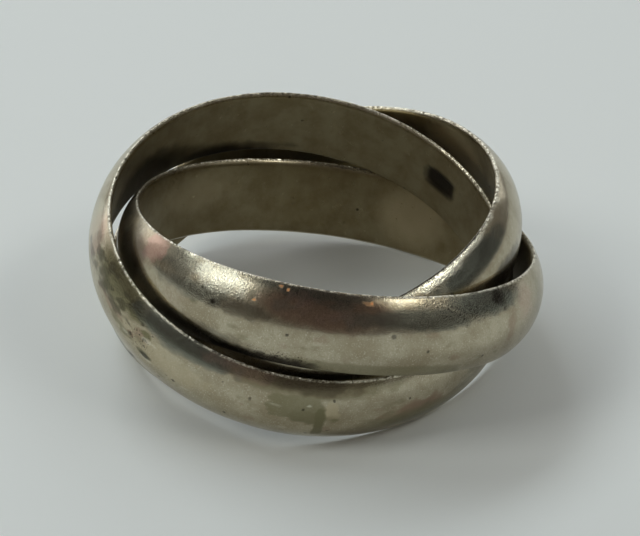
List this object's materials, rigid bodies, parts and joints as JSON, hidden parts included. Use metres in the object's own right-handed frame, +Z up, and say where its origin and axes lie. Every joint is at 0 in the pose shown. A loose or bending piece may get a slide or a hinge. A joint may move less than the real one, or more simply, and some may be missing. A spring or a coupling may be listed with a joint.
{
  "type": "russian wedding ring",
  "caption": "Finger ring of plain domed silver bands linked through one another, free to turn and roll round each other, lying on its side.",
  "frame": {"origin": "on the surface that the ring lies on, under the middle of its box", "axes": "+Z up, roughly along the finger's way through the ring; the view from -Y, looking along +Y, is the picture's side, and +X is to its right"},
  "size_m": [0.022, 0.0216, 0.0089],
  "materials": {
    "tarnished_silver": "worn, tarnished silver with a dull polish"
  },
  "bodies": {
    "front_band": {"front_band": "tarnished_silver"},
    "middle_band": {"middle_band": "tarnished_silver"},
    "back_band": {"back_band": "tarnished_silver"}
  },
  "joints": [
    {"name": "middle_band_turn", "type": "hinge", "parent": "front_band", "child": "middle_band", "pos_m": [0.00066, -0.00064, 0.00438], "axis": [0.1167, 0.2291, 0.9664], "continuous": true},
    {"name": "back_band_turn", "type": "hinge", "parent": "front_band", "child": "back_band", "pos_m": [-0.00028, 0.00044, 0.00438], "axis": [-0.2559, -0.0246, 0.9664], "continuous": true}
  ]
}
